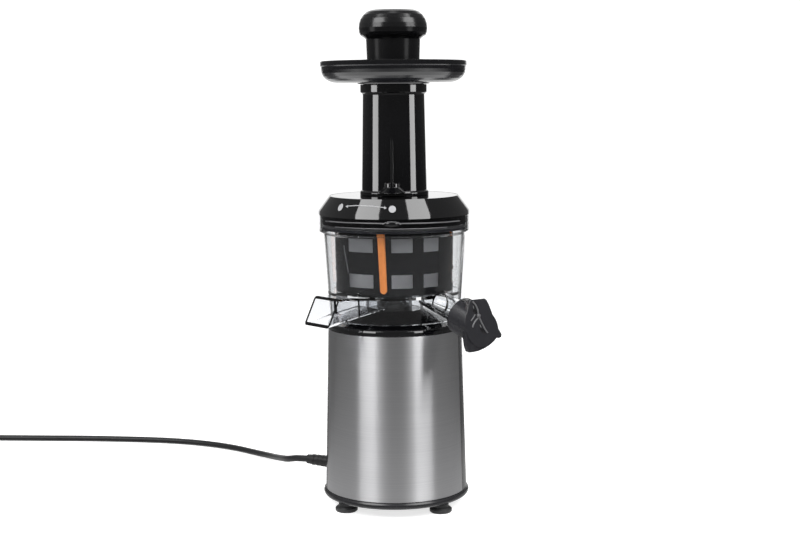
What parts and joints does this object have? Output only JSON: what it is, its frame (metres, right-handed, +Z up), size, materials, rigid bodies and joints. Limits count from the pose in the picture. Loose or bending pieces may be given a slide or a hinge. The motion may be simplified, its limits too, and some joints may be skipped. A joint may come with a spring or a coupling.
{
  "type": "slow juicer",
  "caption": "Upright slow juicer: round motor base, clear juice bowl with strainer and auger, twist-on lid with feed tube, tray and pusher.",
  "frame": {"origin": "on the floor, on the axis of the motor base", "axes": "+Z up along the axis of the juicer, -Y the front, +X to the right of someone who faces the front"},
  "size_m": [0.662, 0.4293, 0.4534],
  "materials": {
    "base_black": "satin moulded black plastic",
    "steel_wrap": "satin stainless steel sheet",
    "piano_black": "high gloss black",
    "tray_black": "satin black",
    "foot_rubber": "matt black rubber",
    "screw_steel": "zinc plated",
    "bearing_steel": "ground steel",
    "stack_steel": "laminated steel",
    "shaft_steel": "turned steel",
    "copper": "enamelled copper wire",
    "cast_case": "die cast, as cast",
    "gear_plastic": "natural acetal",
    "board_green": "solder mask with components",
    "switch_black": "satin black",
    "cord_black": "black flexible sheath",
    "plug_black": "moulded black",
    "pin_metal": "nickel plated brass",
    "bowl_clear": "clear transparent plastic",
    "chute_clear": "clear smoky plastic",
    "seal_grey": "silicone rubber",
    "seal_dark": "nitrile rubber",
    "sleeve_dark": "smoky black",
    "frame_dark": "dark grey plastic",
    "wiper_orange": "orange silicone",
    "mesh_steel": "etched stainless mesh",
    "auger_dark": "dark grey engineering plastic"
  },
  "bodies": {
    "base": {"foot_pads": "foot_rubber", "foot_screws": "screw_steel", "bottom_cover": "base_black", "base_housing": "base_black", "steel_wrap": "steel_wrap", "top_deck": "piano_black", "deck_screws": "screw_steel", "shaft_seal": "seal_dark", "motor_stator": "stack_steel", "motor_windings": "copper", "motor_bracket": "cast_case", "motor_bolts": "screw_steel", "motor_bearings": "bearing_steel", "gearbox_housing": "cast_case", "gearbox_cover": "cast_case", "gear_axles": "shaft_steel", "shaft_bearings": "bearing_steel", "control_board": "board_green", "switch_bezel": "switch_black", "strain_relief": "cord_black", "cord_run": "cord_black", "cord_coil": "cord_black", "power_plug": "plug_black", "plug_pins": "pin_metal"},
    "rotor": {"motor_rotor": "stack_steel"},
    "first_gear": {"first_gear": "gear_plastic"},
    "second_gear": {"second_gear": "shaft_steel"},
    "drive": {"drive_shaft": "shaft_steel"},
    "rocker": {"rocker_switch": "switch_black"},
    "bowl": {"juice_bowl": "bowl_clear", "bowl_seal": "seal_grey", "pulp_chute": "chute_clear", "juice_spout": "bowl_clear", "spout_sleeve": "sleeve_dark", "flap_pin": "screw_steel", "strainer_frame": "frame_dark", "strainer_mesh": "mesh_steel"},
    "flap": {"spout_flap": "sleeve_dark"},
    "idler": {"idler_gear": "gear_plastic"},
    "brush": {"brush_frame": "frame_dark", "silicone_wipers": "wiper_orange"},
    "auger": {"auger": "auger_dark"},
    "lid": {"lid": "piano_black", "lid_seal": "seal_grey", "feed_tube": "piano_black"},
    "tray": {"loading_tray": "tray_black"},
    "pusher": {"pusher": "piano_black"}
  },
  "joints": [
    {"name": "rotor_turn", "type": "hinge", "parent": "base", "child": "rotor", "pos_m": [0, 0, 0.064], "axis": [0, 0, 1], "continuous": true},
    {"name": "first_gear_turn", "type": "hinge", "parent": "base", "child": "first_gear", "pos_m": [0.02385, 0, 0.104], "axis": [0, 0, 1], "continuous": true},
    {"name": "second_gear_turn", "type": "hinge", "parent": "base", "child": "second_gear", "pos_m": [0.01192, 0.02065, 0.113], "axis": [0, 0, 1], "continuous": true},
    {"name": "drive_turn", "type": "hinge", "parent": "base", "child": "drive", "pos_m": [0, 0, 0.15], "axis": [0, 0, 1], "continuous": true},
    {"name": "rocker_tilt", "type": "hinge", "parent": "base", "child": "rocker", "pos_m": [0, 0.0603, 0.062], "axis": [1, 0, 0], "range_deg": [-8, 8]},
    {"name": "bowl_lift", "type": "slide", "parent": "base", "child": "bowl", "axis": [0, 0, 1], "range_m": [0, 0.045]},
    {"name": "flap_swing", "type": "hinge", "parent": "bowl", "child": "flap", "pos_m": [0.06946, -0.06254, 0.20348], "axis": [-0.6691, -0.7431, 0], "range_deg": [0, 110]},
    {"name": "idler_turn", "type": "hinge", "parent": "bowl", "child": "idler", "pos_m": [0, 0.0257, 0.2], "axis": [0, 0, 1], "continuous": true},
    {"name": "brush_turn", "type": "hinge", "parent": "bowl", "child": "brush", "pos_m": [0, 0, 0.2], "axis": [0, 0, 1], "continuous": true},
    {"name": "auger_turn", "type": "hinge", "parent": "bowl", "child": "auger", "pos_m": [0, 0, 0.2], "axis": [0, 0, 1], "continuous": true},
    {"name": "lid_lock", "type": "hinge", "parent": "bowl", "child": "lid", "pos_m": [0, 0, 0.28], "axis": [0, 0, 1], "range_deg": [0, 45]},
    {"name": "tray_lift", "type": "slide", "parent": "lid", "child": "tray", "axis": [0, 0, 1], "range_m": [0, 0.028]},
    {"name": "pusher_lift", "type": "slide", "parent": "lid", "child": "pusher", "axis": [0, 0, 1], "range_m": [0, 0.095]}
  ],
  "couplings": [
    {"joint": "rotor_turn", "follows": "second_gear_turn", "ratio": 16},
    {"joint": "first_gear_turn", "follows": "second_gear_turn", "ratio": -4},
    {"joint": "drive_turn", "follows": "second_gear_turn", "ratio": -0.25},
    {"joint": "auger_turn", "follows": "second_gear_turn", "ratio": -0.25},
    {"joint": "idler_turn", "follows": "second_gear_turn", "ratio": 0.32143},
    {"joint": "brush_turn", "follows": "second_gear_turn", "ratio": 0.097826}
  ]
}
